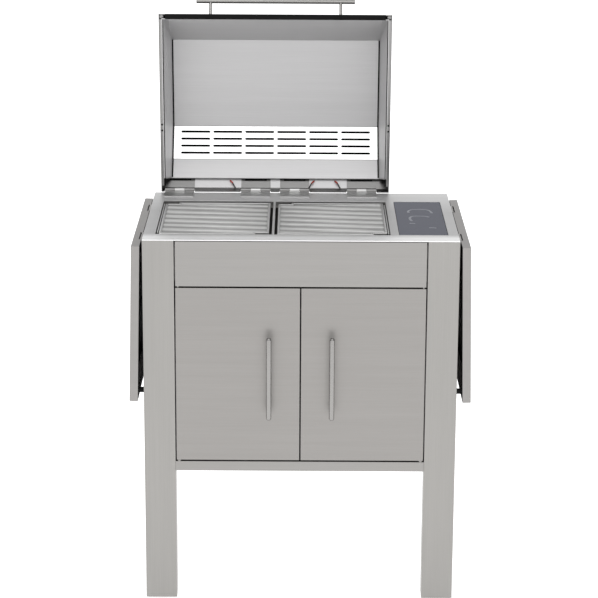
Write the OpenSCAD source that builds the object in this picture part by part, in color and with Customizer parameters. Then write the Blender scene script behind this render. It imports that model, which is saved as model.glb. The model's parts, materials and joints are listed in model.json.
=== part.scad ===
// Gas barbecue grill on four square legs: worktop with two grates and a glass control
// panel, a double-walled lifting hood, a two-door cabinet and two drop-leaf side shelves.
// Millimetres, +Z up, front of the grill towards -Y. The origin is on the floor, at the
// middle of the space that the grill takes with its hood open and its shelves down.

/* [Table] */
// Width over the outer faces of the legs
table_w = 780; // [760:10:1100]
// Depth from the front face to the back edge of the worktop
table_d = 525; // [500:5:700]
// Height of the worktop's top surface above the floor
table_h = 945; // [880:5:1150]
// Thickness of the worktop sheet
top_t = 2.5; // [2:0.5:4]
// Thickness of the other sheet parts
sheet_t = 2; // [1.5:0.5:2.5]
// Width of a front leg
leg_w = 78; // [60:2:90]
// Depth of a front leg
leg_d = 50; // [40:2:54]
// Side of a rear leg
rear_leg = 46; // [36:2:60]
// Height of a foot below its leg
foot_h = 4; // [3:1:20]

/* [Cooking opening] */
// Width of the opening for the grates
opening_w = 582; // [540:2:620]
// Depth of the opening for the grates
opening_d = 368; // [340:4:420]
// Distance of the opening behind the front legs
opening_gap = 10; // [10:1:30]
// Sideways offset of the opening and the hood
hood_x = -69.5; // [-75:0.5:-60]
// Width of the bar between the grates
centre_bar_w = 6; // [4:1:10]
// Gap beside each grate
grate_side_gap = 7.25; // [4:0.25:10]
// Gap in front of and behind each grate
grate_end_gap = 14; // [8:1:20]
// Spacing of the grate rods
rod_pitch = 14.1; // [10:0.1:20]
// Diameter of a grate rod
rod_d = 8; // [6:0.5:9]
// Depth of the firebox below the worktop
firebox_h = 112; // [90:2:140]

/* [Control panel] */
// Width of the control glass
glass_w = 120; // [90:2:124]
// Depth of the control glass
glass_d = 364; // [300:4:400]
// Gap around the control glass
glass_gap = 1; // [0.5:0.5:2]
// Gap between the worktop's two openings
opening_bar = 22; // [18:1:30]

/* [Fascia and doors] */
// Height of the fascia panel
fascia_h = 114; // [100:2:130]
// Height of a door
door_h = 447; // [400:1:560]
// Thickness of a door
door_t = 20; // [16:1:26]
// Gap between a door or the fascia and what is beside it
panel_gap = 3; // [3:0.5:5]
// Height of the gaps above and below the doors
door_gap = 4; // [3:0.5:6]
// Height of the cabinet floor's front rail
rail_h = 25; // [20:1:40]
// Diameter of a door handle
door_handle_d = 13; // [10:1:16]
// Length of a door handle
door_handle_len = 214; // [150:2:300]
// Distance of a door handle's axis in front of the door
door_handle_reach = 36; // [30:1:50]
// Distance of a door handle's axis from the middle of the grill
door_handle_x = 78; // [50:1:120]

/* [Hood] */
// Width of the hood
hood_w = 608; // [580:2:630]
// Length of the hood from its hinge axis to its front edge
hood_len = 480; // [460:2:500]
// Height of the hood above its hinge axis
hood_top = 150; // [130:2:180]
// Distance between the hood's outer and inner skins
hood_wall = 10; // [8:1:14]
// Width of the hood's double side wall
hood_side = 26; // [20:1:30]
// Opening angle of the hood at rest
hood_open = 85; // [75:1:88]
// Diameter of the hood handle
hood_handle_d = 12; // [10:1:16]
// Length of the hood handle
hood_handle_len = 417; // [300:1:500]
// Distance between the hood handle's posts
hood_post_span = 342; // [240:1:400]
// Length of a vent slot
slot_len = 78.5; // [60:0.5:80]
// Width of a vent slot
slot_w = 6.5; // [4:0.5:8]
// Spacing of the vent slots along a row
slot_pitch_x = 86.4; // [84:0.2:90]
// Spacing of the rows of vent slots
slot_pitch_v = 20.5; // [18:0.5:22]

/* [Side shelves] */
// Width of a side shelf when it is raised
shelf_w = 399; // [300:1:420]
// Thickness of a side shelf
shelf_t = 21; // [20:1:30]
// Gap between a hanging shelf and the leg at its hinge
shelf_gap = 6; // [6:0.5:8]
// Outward lean of a hanging shelf against its bumpers
shelf_lean = 1.3; // [0.8:0.1:1.6]

/* [Hidden] */
$fn = 48;
fit = 0.05;
steel = "#b9b7b4";
bright = "#d6d6d4";
dark = "#2b2b2c";
glass = "#5b5d68";
brass = "#b59a55";
red = "#8c2f2c";

// Sheet, fold and clearance sizes shared by several parts
half_w = table_w / 2;
under_top = table_h - top_t;
seam = 1.5;
leg_in = half_w - leg_w;
rear_leg_in = half_w - rear_leg;
foot_r = 15;
stem_r = 4;
plug_t = 5;

// Cooking opening and what hangs in it
opening_y = leg_d + opening_gap;
opening_x0 = hood_x - opening_w / 2;
opening_x1 = hood_x + opening_w / 2;
opening_y1 = opening_y + opening_d;
flange_w = 9;
firebox_z = under_top - firebox_h;
grate_w = (opening_w - centre_bar_w) / 2 - 2 * grate_side_gap;
grate_d = opening_d - 2 * grate_end_gap;
grate_y = opening_y + grate_end_gap;
grate_h = 10;
grate_z = table_h - grate_h - 2;
grate_frame = 8;
grate_xs = [for (s = [-1, 1]) hood_x + s * (centre_bar_w / 2 + grate_side_gap + grate_w / 2)];
notch_len = 34;
notch_d = 14;
rail_t = 2;
rail_reach = grate_end_gap + 10;
drain_w = 300;
drain_d = 90;

// Control glass and its housing
glass_x0 = opening_x1 + opening_bar;
glass_xc = glass_x0 + glass_w / 2;
glass_y = opening_y + (opening_d - glass_d) / 2;
glass_t = 4;
glass_drop = 0.5;
housing_h = 56;
housing_lip = 6;
board_t = 1.6;

// Fascia, doors and cabinet
fascia_z1 = under_top - seam;
fascia_z0 = fascia_z1 - fascia_h;
fascia_t = 20;
panel_x = leg_in - panel_gap;
door_z1 = fascia_z0 - door_gap;
door_z0 = door_z1 - door_h;
floor_z = door_z0 - door_gap;
cabinet_z0 = floor_z - rail_h;
door_mid_gap = 3.6;
door_w = panel_x - door_mid_gap / 2;
door_skin = 1.5;
pivot_in = 6;
pivot_r = 3;
pivot_len = 11;
block_w = 14;
block_d = 12;
block_h = 14;
handle_z = door_z1 - 116;
handle_post_r = 4;
handle_post_in = 25;
cabinet_y0 = door_t + 2;
divider_z = fascia_z0 - 65;
catch_x = 24;
catch_w = 30;
catch_h = 12;

// Burners and gas path
burner_r = 14;
burner_wall = 2;
burner_z = firebox_z + 38;
burner_front = opening_y - 12;
burner_len = opening_d - 16;
port_count = 16;
port_pitch = 20;
manifold_r = 8;
manifold_y = 36;
valve_w = 70;
valve_d = 30;
valve_h = 38;
valve_x = leg_in - 6 - valve_w;
supply_r = 6;
supply_x = valve_x + valve_w - 16;
inlet_r = 6.6;
inlet_len = 20;
bulkhead_r = 9;
nut_h = 4;
tamer_half = 46;
tamer_rise = 26;
tamer_z = burner_z + burner_r + 6;

// Drip tray and its rails
tray_w = 372;
tray_d = 400;
tray_h = 24;
tray_z = divider_z + 10;
tray_gap = 1;
tray_lip = 14;
tray_slot_h = tray_h + 12;

// Hood hinge: axis just behind the worktop's back edge
axle_r = 5;
axle_y = table_d + axle_r + 0.5;
axle_z = table_h + axle_r + 1;
pin_r = 3;
hood_rim = table_h + 2 - axle_z;
hood_back = -5;
slope_u = 54;
slope_v = 86;
upper_u = 133;
front_run = 97;
fold_v = slope_v - (slope_u - hood_back) * 1.06;
hinge_w = 78;
window_top = 10;
hinge_in = [49, 73];
hinge_mid = 52;
hinge_xs = [hinge_in[0] - hood_w / 2, -hinge_mid, hinge_mid, hood_w / 2 - hinge_in[1]];
leaf_t = 2.5;
leaf_len = 62;
leaf_top = 34;
leaf_low = pin_r + 0.2;

// Hood skins, closed, as [distance in front of the hinge axis, height above it]
hood_outline = [
    [hood_back, hood_rim],
    [hood_back, fold_v],
    [slope_u, slope_v],
    [upper_u, hood_top],
    [hood_len - front_run, hood_top],
    [hood_len, hood_rim]
];
liner_line = inset(hood_outline, hood_wall);
liner_foot = 36;
band_low = liner_line[2];
band_high = liner_line[3];
band_len = norm(band_high - band_low);
band_angle = atan2(band_high[1] - band_low[1], band_high[0] - band_low[0]);
front_angle = atan2(hood_top - hood_rim, front_run);
vent_t = 1.2;
handle_up = 46;
handle_off = 55.5;
hood_post_r = 4;
seal_cap = 1.3;
seal_in = 17;

// Overall depth: door handles in front, the open hood's corner behind
reach_front = door_handle_reach + door_handle_d / 2;
reach_back = axle_y + max([for (p = hood_outline) p[1] * sin(hood_open) - p[0] * cos(hood_open)]);
front_y = (reach_front - reach_back) / 2;

// Side shelves: hinge axis on the hanging shelf's inner face
shelf_drop = shelf_t;
shelf_axis_x = half_w + shelf_gap;
shelf_axis_z = table_h - shelf_drop;
shelf_over = shelf_gap - 2;
shelf_skin = 1.5;
shelf_lip = 26;
shelf_hinge_ys = [110, table_d - 110];
shelf_hinge_w = 70;
shelf_barrel = 4.5;
shelf_pin_r = 2.5;
side_leaf_t = 2;
side_leaf_len = 40;
bumper_r = 7;
bumper_drop = 368;
bumper_clear = 0.2;

// ---------- helpers ----------

// Line of a convex open outline moved inwards by t, its last points kept at the rim
function left_normal(a, b) = let (d = b - a) [d[1], -d[0]] / norm(d);
function shifted(a, b, t) = let (n = left_normal(a, b)) [a + n * t, b + n * t];
function crossing(p, q) =
    let (r = p[1] - p[0], s = q[1] - q[0], w = q[0] - p[0],
         k = (w[0] * s[1] - w[1] * s[0]) / (r[0] * s[1] - r[1] * s[0]))
    p[0] + r * k;
function inset(pts, t) =
    let (n = len(pts),
         edges = [for (i = [0:n - 2]) shifted(pts[i], pts[i + 1], t)],
         rim = [[pts[0][0], pts[0][1]], [pts[n - 1][0], pts[n - 1][1]]])
    concat([crossing(edges[0], rim)],
           [for (i = [1:n - 2]) crossing(edges[i - 1], edges[i])],
           [crossing(edges[n - 2], rim)]);

// Inner hood line carried 1 mm below the rim, for cutting
function closed_line(pts) =
    concat([[pts[0][0], hood_rim - 1]], pts, [[pts[len(pts) - 1][0], hood_rim - 1]]);

// Box from its lowest corner to its highest
module block(a, b) {
    translate(a) cube(b - a);
}

// Moves table coordinates, with the front face at 0, into the grill's frame
module at_table() {
    translate([0, front_y, 0]) children();
}

// Both sides of the grill from its right side
module both_sides() {
    children();
    mirror([1, 0, 0]) children();
}

// Outline in hood coordinates made solid over a width, centred on the hood
module hood_slab(pts, w) {
    translate([hood_x - w / 2, 0, 0])
        multmatrix([[0, 0, 1, 0], [-1, 0, 0, 0], [0, 1, 0, 0], [0, 0, 0, 1]])
        linear_extrude(w) polygon(pts);
}

// Places hood parts, drawn closed about the hinge axis, at the opening angle of rest
module hood_at_rest() {
    at_table() translate([0, axle_y, axle_z]) rotate([-hood_open, 0, 0]) children();
}

// Places parts of a right-hand shelf, drawn hanging plumb about its axis, leaning at rest
module shelf_at_rest() {
    at_table() translate([shelf_axis_x, 0, shelf_axis_z]) rotate([0, -shelf_lean, 0]) children();
}

// Cylinder along X, Y or Z from a start point
module rod_x(p, len, r) {
    translate(p) rotate([0, 90, 0]) cylinder(h = len, r = r);
}
module rod_y(p, len, r) {
    translate(p) rotate([-90, 0, 0]) cylinder(h = len, r = r);
}
module rod_z(p, len, r) {
    translate(p) cylinder(h = len, r = r);
}

// Open-ended rectangular tube standing on z0
module leg_tube(x0, y0, w, d, z0, z1) {
    difference() {
        block([x0, y0, z0], [x0 + w, y0 + d, z1]);
        block([x0 + sheet_t, y0 + sheet_t, z0 - 1], [x0 + w - sheet_t, y0 + d - sheet_t, z1 + 1]);
    }
}

// ---------- table ----------

module worktop() {
    color(steel) at_table() difference() {
        block([-half_w, 0, under_top], [half_w, table_d, table_h]);
        block([opening_x0, opening_y, under_top - 1], [opening_x1, opening_y1, table_h + 1]);
        block([glass_x0 - glass_gap, glass_y - glass_gap, under_top - 1],
              [glass_x0 + glass_w + glass_gap, glass_y + glass_d + glass_gap, table_h + 1]);
    }
}

// Folded front panel with a lip that reaches the worktop and tabs that reach the legs
module fascia() {
    color(steel) at_table() {
        difference() {
            block([-panel_x, 0, fascia_z0], [panel_x, fascia_t, fascia_z1]);
            block([-panel_x + sheet_t, sheet_t, fascia_z0 + sheet_t],
                  [panel_x - sheet_t, fascia_t + 1, fascia_z1 - sheet_t]);
        }
        block([-panel_x, fascia_t - sheet_t, fascia_z1 - sheet_t], [panel_x, fascia_t, under_top]);
        both_sides() block([panel_x - sheet_t, fascia_t - sheet_t, fascia_z0 + 10],
                           [leg_in, fascia_t, fascia_z1 - 10]);
    }
}

module front_leg() {
    leg_tube(half_w - leg_w, 0, leg_w, leg_d, foot_h, under_top);
}

module front_leg_left() {
    color(steel) at_table() mirror([1, 0, 0]) front_leg();
}

module front_leg_right() {
    color(steel) at_table() front_leg();
}

module rear_legs() {
    color(steel) at_table() both_sides()
        leg_tube(rear_leg_in, table_d - rear_leg, rear_leg, rear_leg, foot_h, under_top);
}

// Middles of the four legs, right side first
leg_middles = [
    [half_w - leg_w / 2, leg_d / 2, leg_w, leg_d],
    [half_w - rear_leg / 2, table_d - rear_leg / 2, rear_leg, rear_leg]
];

// Steel plug in the bottom of each leg, tapped for its foot
module leg_plugs() {
    color(steel) at_table() both_sides() for (m = leg_middles) difference() {
        translate([m[0] - m[2] / 2 + sheet_t, m[1] - m[3] / 2 + sheet_t, foot_h])
            cube([m[2] - 2 * sheet_t, m[3] - 2 * sheet_t, plug_t]);
        rod_z([m[0], m[1], foot_h - 1], plug_t + 2, stem_r + fit);
    }
}

module feet() {
    color(dark) at_table() both_sides() for (m = leg_middles) {
        rod_z([m[0], m[1], 0], foot_h, foot_r);
        rod_z([m[0], m[1], 0], foot_h + plug_t + 12, stem_r);
    }
}

// Side skin between the front and rear legs, with turned edges
module side_panel() {
    difference() {
        block([half_w - 14, leg_d, cabinet_z0], [half_w, table_d - rear_leg, under_top]);
        block([half_w - 15, leg_d + sheet_t, cabinet_z0 + sheet_t],
              [half_w - sheet_t, table_d - rear_leg - sheet_t, under_top - sheet_t]);
    }
}

module side_panel_left() {
    color(steel) at_table() mirror([1, 0, 0]) side_panel();
}

module side_panel_right() {
    color(steel) at_table() side_panel();
}

vent_rows = 5;
vent_pitch = 16;
vent_len = 110;
vent_x = 150;

// Back skin with louvre slots, the drip tray's opening and the gas inlet's hole
module back_panel() {
    color(steel) at_table() difference() {
        block([-rear_leg_in, table_d - sheet_t, cabinet_z0], [rear_leg_in, table_d, under_top]);
        block([hood_x - tray_w / 2 - 4, table_d - sheet_t - 1, tray_z - 3],
              [hood_x + tray_w / 2 + 4, table_d + 1, tray_z + tray_slot_h]);
        for (x = [-1, 1] * vent_x, i = [0:vent_rows - 1])
            translate([x, table_d + 1, cabinet_z0 + 70 + i * vent_pitch]) rotate([90, 0, 0])
                linear_extrude(sheet_t + 2) slot_2d(vent_len, 6);
        rod_y([supply_x, table_d - sheet_t - 1, burner_z], sheet_t + 2, bulkhead_r + 0.5);
    }
}

// Flat slot with round ends, centred
module slot_2d(len, w) {
    square([len - w, w], center = true);
    for (s = [-1, 1]) translate([s * (len - w) / 2, 0]) circle(d = w);
}

// Floor of the cabinet, its turned-down front edge being the bottom rail
module cabinet_floor() {
    color(steel) at_table() difference() {
        block([-leg_in, 0, cabinet_z0], [leg_in, table_d - sheet_t, floor_z]);
        block([-leg_in + sheet_t, sheet_t, cabinet_z0 - 1],
              [leg_in - sheet_t, table_d - 2 * sheet_t, floor_z - sheet_t]);
    }
}

module cabinet_walls() {
    color(steel) at_table() both_sides()
        block([leg_in - sheet_t, cabinet_y0, floor_z], [leg_in, table_d - sheet_t, divider_z]);
}

// Shield plate between the cabinet and the firebox
module cabinet_divider() {
    color(steel) at_table()
        block([-leg_in, cabinet_y0, divider_z], [leg_in, table_d - sheet_t, divider_z + sheet_t]);
}

// ---------- cooking parts ----------

// Folded steel box hung under the worktop by its flange, with a drain in its floor
module firebox() {
    color(bright) at_table() difference() {
        union() {
            block([opening_x0 - flange_w, opening_y - flange_w, under_top - sheet_t],
                  [opening_x1 + flange_w, opening_y1 + flange_w, under_top]);
            block([opening_x0 - sheet_t, opening_y - sheet_t, firebox_z],
                  [opening_x1 + sheet_t, opening_y1 + sheet_t, under_top]);
        }
        block([opening_x0, opening_y, firebox_z + sheet_t],
              [opening_x1, opening_y1, under_top + 1]);
        block([hood_x - drain_w / 2, opening_y + (opening_d - drain_d) / 2, firebox_z - 1],
              [hood_x + drain_w / 2, opening_y + (opening_d + drain_d) / 2, firebox_z + sheet_t + 1]);
        for (x = grate_xs) {
            rod_y([x, opening_y - sheet_t - 1, burner_z], sheet_t + 2, burner_r + 0.5);
            rod_y([x + 26, opening_y - sheet_t - 1, burner_z + 12], sheet_t + 2, 3.5);
        }
    }
}

// Ledges along the front and back walls that carry the grates and the centre bar
module grate_rails() {
    color(bright) at_table() {
        for (y = [opening_y, opening_y1 - rail_reach])
            block([opening_x0, y, grate_z - rail_t], [opening_x1, y + rail_reach, grate_z]);
        block([opening_x0, opening_y, grate_z - 14], [opening_x1, opening_y + rail_t, grate_z - rail_t]);
        block([opening_x0, opening_y1 - rail_t, grate_z - 14], [opening_x1, opening_y1, grate_z - rail_t]);
    }
}

module centre_bar() {
    color(bright) at_table()
        block([hood_x - centre_bar_w / 2, opening_y + 1, grate_z],
              [hood_x + centre_bar_w / 2, opening_y1 - 1, table_h - 2.5]);
}

// Frame of flat bar with round rods across it and a finger notch at two corners
module grate(x) {
    rods = floor((grate_d - 2 * grate_frame) / rod_pitch);
    first = grate_y + (grate_d - (rods - 1) * rod_pitch) / 2;
    x0 = x - grate_w / 2;
    x1 = x + grate_w / 2;
    color(bright) at_table() difference() {
        union() {
            difference() {
                block([x0, grate_y, grate_z], [x1, grate_y + grate_d, grate_z + grate_h]);
                block([x0 + grate_frame, grate_y + grate_frame, grate_z - 1],
                      [x1 - grate_frame, grate_y + grate_d - grate_frame, grate_z + grate_h + 1]);
            }
            for (i = [0:rods - 1])
                rod_x([x0 + 1, first + i * rod_pitch, grate_z + grate_h / 2], grate_w - 2, rod_d / 2);
        }
        block([x0 - 1, grate_y + grate_d - notch_d, grate_z - 1],
              [x0 + notch_len, grate_y + grate_d + 1, grate_z + grate_h + 1]);
        block([x1 - notch_len, grate_y - 1, grate_z - 1],
              [x1 + 1, grate_y + notch_d, grate_z + grate_h + 1]);
    }
}

module grate_left() {
    grate(grate_xs[0]);
}

module grate_right() {
    grate(grate_xs[1]);
}

// Folded angle plates over the burners, resting on the firebox's end walls
module flame_tamers() {
    color(bright) at_table() for (x = grate_xs)
        translate([x, opening_y1, tamer_z]) rotate([90, 0, 0]) linear_extrude(opening_d) polygon([
            [-tamer_half, 0], [0, tamer_rise], [tamer_half, 0],
            [tamer_half, sheet_t], [0, tamer_rise + sheet_t * 1.15], [-tamer_half, sheet_t]
        ]);
}

// Tube burner with an open venturi end in front and two rows of ports on top
module burner(x) {
    y1 = burner_front + burner_len;
    color(bright) at_table() difference() {
        union() {
            rod_y([x, burner_front, burner_z], burner_len, burner_r);
            block([x - 10, y1 - 2, firebox_z + sheet_t], [x + 10, y1, burner_z]);
        }
        rod_y([x, burner_front - 1, burner_z], burner_len - burner_wall, burner_r - burner_wall);
        for (i = [0:port_count - 1], s = [-1, 1])
            translate([x, opening_y + 24 + i * port_pitch, burner_z]) rotate([0, s * 35, 0])
                cylinder(h = burner_r + 1, r = 1.5, $fn = 16);
    }
}

module burner_left() {
    burner(grate_xs[0]);
}

module burner_right() {
    burner(grate_xs[1]);
}

// Gas pipe along the front with one injector for each burner
module manifold() {
    color(brass) at_table() {
        rod_x([grate_xs[0] - 20, manifold_y, burner_z], valve_x - grate_xs[0] + 20, manifold_r);
        for (x = grate_xs) rod_y([x, manifold_y, burner_z], burner_front - manifold_y + 6, 4);
    }
}

// Electric valve block behind the fascia, below the control housing, on a post
module valve_block() {
    color(brass) at_table() {
        block([valve_x, manifold_y - 12, burner_z - valve_h / 2],
              [valve_x + valve_w, manifold_y - 12 + valve_d, burner_z + valve_h / 2 - 8]);
        for (i = [0, 1]) rod_z([valve_x + 17 + i * 36, manifold_y + 3, burner_z], valve_h / 2 + 3, 11);
        block([valve_x + 10, manifold_y - 10, divider_z + sheet_t],
              [valve_x + 24, manifold_y + 10, burner_z - valve_h / 2]);
    }
}

module supply_pipe() {
    y0 = manifold_y - 12 + valve_d;
    color(brass) at_table() rod_y([supply_x, y0, burner_z], table_d - sheet_t - 14 - y0, supply_r);
}

// Connection stub through the back panel, held by a nut on each side of it
module gas_inlet() {
    color(brass) at_table() translate([supply_x, 0, burner_z]) {
        rod_y([0, table_d - sheet_t - 14, 0], 14 + sheet_t + nut_h, bulkhead_r);
        rod_y([0, table_d + nut_h, 0], inlet_len, inlet_r);
        for (y = [table_d - sheet_t - nut_h, table_d])
            translate([0, y, 0]) rotate([-90, 0, 0]) cylinder(h = nut_h, r = 13, $fn = 6);
    }
}

// Ceramic spark electrodes through the firebox's front wall
module igniter_electrodes() {
    color("#e8e4da") at_table() for (x = grate_xs) {
        rod_y([x + 26, opening_y - 14, burner_z + 12], 38, 3);
        rod_y([x + 26, opening_y - 22, burner_z + 12], 54, 1.2);
    }
}

// ---------- control panel ----------

module control_glass() {
    color(glass) at_table()
        block([glass_x0, glass_y, table_h - glass_drop - glass_t],
              [glass_x0 + glass_w, glass_y + glass_d, table_h - glass_drop]);
}

// Folded tray below the glass, screwed up under the worktop
module control_housing() {
    z1 = under_top;
    g = glass_gap + housing_lip;
    color(dark) at_table() difference() {
        block([glass_x0 - g, glass_y - g, z1 - housing_h],
              [glass_x0 + glass_w + g, glass_y + glass_d + g, z1]);
        block([glass_x0 - glass_gap, glass_y - glass_gap, table_h - glass_drop - glass_t],
              [glass_x0 + glass_w + glass_gap, glass_y + glass_d + glass_gap, z1 + 1]);
        block([glass_x0 + housing_lip, glass_y + housing_lip, z1 - housing_h + sheet_t],
              [glass_x0 + glass_w - housing_lip, glass_y + glass_d - housing_lip, z1 + 1]);
    }
}

module control_board() {
    z1 = table_h - glass_drop - glass_t;
    color("#2f5a3c") at_table() {
        block([glass_x0 + 14, glass_y + 80, z1 - 10], [glass_x0 + glass_w - 14, glass_y + 260, z1 - 10 + board_t]);
        for (x = [glass_x0 + 20, glass_x0 + glass_w - 20], y = [glass_y + 90, glass_y + 250])
            rod_z([x, y, under_top - housing_h + sheet_t],
                  z1 - 10 - (under_top - housing_h + sheet_t), 3);
    }
}

// ---------- drip tray ----------

module tray_rails() {
    color(steel) at_table() for (s = [-1, 1]) {
        x = hood_x + s * (tray_w / 2 + tray_gap);
        block([min(x, x + s * sheet_t), opening_y + 40, divider_z + sheet_t],
              [max(x, x + s * sheet_t), table_d - sheet_t, tray_z + tray_h - 4]);
        block([min(x - s * 10, x), opening_y + 40, tray_z - tray_gap - sheet_t],
              [max(x - s * 10, x), table_d - sheet_t, tray_z - tray_gap]);
    }
}

// Shallow tray that draws out through the back panel
module drip_tray() {
    y1 = table_d + 2;
    color(bright) at_table() {
        difference() {
            block([hood_x - tray_w / 2, y1 - tray_d, tray_z], [hood_x + tray_w / 2, y1, tray_z + tray_h]);
            block([hood_x - tray_w / 2 + sheet_t, y1 - tray_d + sheet_t, tray_z + sheet_t],
                  [hood_x + tray_w / 2 - sheet_t, y1 - sheet_t, tray_z + tray_h + 1]);
        }
        block([hood_x - tray_w / 2 - tray_lip, y1 - sheet_t, tray_z - 8],
              [hood_x + tray_w / 2 + tray_lip, y1, tray_z + tray_slot_h + 8]);
        block([hood_x - 60, y1, tray_z + 6], [hood_x + 60, y1 + 22, tray_z + 8]);
        block([hood_x - 60, y1 + 20, tray_z - 2], [hood_x + 60, y1 + 22, tray_z + 6]);
    }
}

// ---------- doors ----------

// Centre of a right-hand door's pivot
pivot_x = panel_x - pivot_in;
pivot_y = pivot_in;

// Vertical pivots standing in the floor and hanging from the fascia
module door_pins() {
    color(steel) at_table() both_sides() {
        rod_z([pivot_x, pivot_y, floor_z], door_gap + pivot_len, pivot_r);
        rod_z([pivot_x, pivot_y, floor_z], door_gap - 0.4, pivot_r + 2.5);
        rod_z([pivot_x, pivot_y, door_z1 - pivot_len], pivot_len + door_gap, pivot_r);
    }
}

// Magnetic catches behind the doors' top corners, hooked over the fascia's bottom flange
module door_catches() {
    over = fascia_z0 + sheet_t;
    color(dark) at_table() for (s = [-1, 1]) translate([s * catch_x - catch_w / 2, 0, 0]) {
        block([0, door_t + 0.5, fascia_z0 - catch_h], [catch_w, door_t + 14, over + 3]);
        block([0, fascia_t / 2, over], [catch_w, door_t + 0.5, over + 3]);
    }
}

// Outer pan of a right-hand door
module door_pan() {
    difference() {
        block([door_mid_gap / 2, 0, door_z0], [panel_x, door_t, door_z1]);
        block([door_mid_gap / 2 + door_skin, door_skin, door_z0 + door_skin],
              [panel_x - door_skin, door_t + 1, door_z1 - door_skin]);
        for (z = [door_z0 - 1, door_z1 - door_skin - 1])
            rod_z([pivot_x, pivot_y, z], door_skin + 2, pivot_r + 0.5);
    }
}

// Inner plate of a right-hand door with its two drilled pivot blocks
module door_plate() {
    e = door_skin + 0.3;
    x0 = pivot_x - block_w / 2 - 2;
    difference() {
        union() {
            block([door_mid_gap / 2 + e, door_t - door_skin, door_z0 + e], [panel_x - e, door_t, door_z1 - e]);
            for (z = [door_z0 + e, door_z1 - e - block_h])
                block([x0, door_skin + 0.3, z], [panel_x - e, door_t - door_skin, z + block_h]);
        }
        for (z = [door_z0, door_z1 - block_h - 2]) rod_z([pivot_x, pivot_y, z], block_h + 2, pivot_r + fit);
    }
}

// Round bar handle of a right-hand door on two posts
module door_bar() {
    z1 = handle_z;
    z0 = handle_z - door_handle_len;
    rod_z([door_handle_x, -door_handle_reach, z0], door_handle_len, door_handle_d / 2);
    for (z = [z0 + handle_post_in, z1 - handle_post_in])
        rod_y([door_handle_x, -door_handle_reach, z], door_handle_reach, handle_post_r);
}

module door_left() {
    color(steel) at_table() mirror([1, 0, 0]) door_pan();
}

module door_left_back() {
    color(steel) at_table() mirror([1, 0, 0]) door_plate();
}

module door_left_handle() {
    color(bright) at_table() mirror([1, 0, 0]) door_bar();
}

module door_right() {
    color(steel) at_table() door_pan();
}

module door_right_back() {
    color(steel) at_table() door_plate();
}

module door_right_handle() {
    color(bright) at_table() door_bar();
}

// ---------- hood hinges ----------

// Places something at each hinge, seen from the hood's middle
module at_hinges() {
    for (x = hinge_xs) translate([hood_x + x, 0, 0]) children();
}

// Barrel segments of one hinge: the middle third or the two outer thirds
module barrels(middle) {
    third = hinge_w / 3;
    for (i = middle ? [0] : [-1, 1])
        rod_x([i * third - third / 2 + 0.2, 0, 0], third - 0.4, axle_r);
}

module pin_bores() {
    rod_x([-hinge_w / 2 - 1, 0, 0], hinge_w + 2, pin_r + fit);
}

// Flat leaves on the worktop, drawn about the hinge axis
module table_hinge_leaves() {
    color(bright) at_table() translate([0, axle_y, axle_z]) at_hinges() difference() {
        union() {
            barrels(true);
            block([-hinge_w / 6 + 0.2, -axle_r - 1, table_h - axle_z],
                  [hinge_w / 6 - 0.2, 0, table_h - axle_z + leaf_t]);
            block([-hinge_w / 2, -leaf_len, table_h - axle_z],
                  [hinge_w / 2, -axle_r - 1, table_h - axle_z + leaf_t]);
        }
        pin_bores();
    }
}

module hood_hinge_pins() {
    color(bright) at_table() translate([0, axle_y, axle_z]) at_hinges()
        rod_x([-hinge_w / 2 - 1, 0, 0], hinge_w + 2, pin_r);
}

// Leaves inside the hood's back wall, bent along its slope
module hood_hinge_leaves() {
    face = closed_line(inset(hood_outline, sheet_t));
    back = closed_line(inset(hood_outline, sheet_t + leaf_t));
    color(bright) hood_at_rest() difference() {
        union() {
            at_hinges() barrels(false);
            for (x = hinge_xs, s = [-1, 1]) leaf_part(face, back, x + s * hinge_w / 3, hinge_w / 3 - 0.4, leaf_low);
            for (x = hinge_xs) leaf_part(face, back, x, hinge_w, window_top);
        }
        at_hinges() pin_bores();
    }
}

// Stretch of a hood leaf, w wide, between the heights v0 and leaf_top
module leaf_part(face, back, x, w, v0) {
    intersection() {
        difference() {
            hood_slab(face, hood_w);
            hood_slab(back, hood_w + 2);
        }
        block([hood_x + x - w / 2, -slope_u, v0], [hood_x + x + w / 2, -hood_back, leaf_top]);
    }
}

// ---------- hood ----------

// Outer skin with closed cheeks, windowed behind the hinges
module hood_shell() {
    skin = inset(hood_outline, sheet_t);
    low = hood_rim - 1;
    color(steel) hood_at_rest() difference() {
        hood_slab(hood_outline, hood_w);
        hood_slab(closed_line(skin), hood_w - 2 * sheet_t);
        at_hinges() block([-hinge_w / 2 - 1, -hood_back - sheet_t - 1, low],
                          [hinge_w / 2 + 1, -hood_back + 1, window_top]);
    }
}

// Inner skin with its own cheeks, open behind the vent panel
module hood_liner() {
    inner = inset(hood_outline, hood_wall + sheet_t);
    w = hood_w - 2 * hood_side;
    color(bright) hood_at_rest() difference() {
        hood_slab(liner_line, w + 2 * sheet_t);
        hood_slab(closed_line(inner), w);
        block([hood_x - w, -leaf_len - 1, hood_rim - 1], [hood_x + w, 0, liner_foot]);
        vent_place() block([-w / 2 + 16, 8, -1], [w / 2 - 16, band_len - 8, hood_wall + 3]);
    }
}

// Moves to the inner face of the slotted band: Y up the band, Z out through it
module vent_place() {
    b = inset(hood_outline, hood_wall + sheet_t)[2];
    translate([hood_x, -b[0], b[1]])
        multmatrix([[1, 0, 0, 0],
                    [0, -cos(band_angle), sin(band_angle), 0],
                    [0, sin(band_angle), cos(band_angle), 0],
                    [0, 0, 0, 1]]) children();
}

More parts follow.
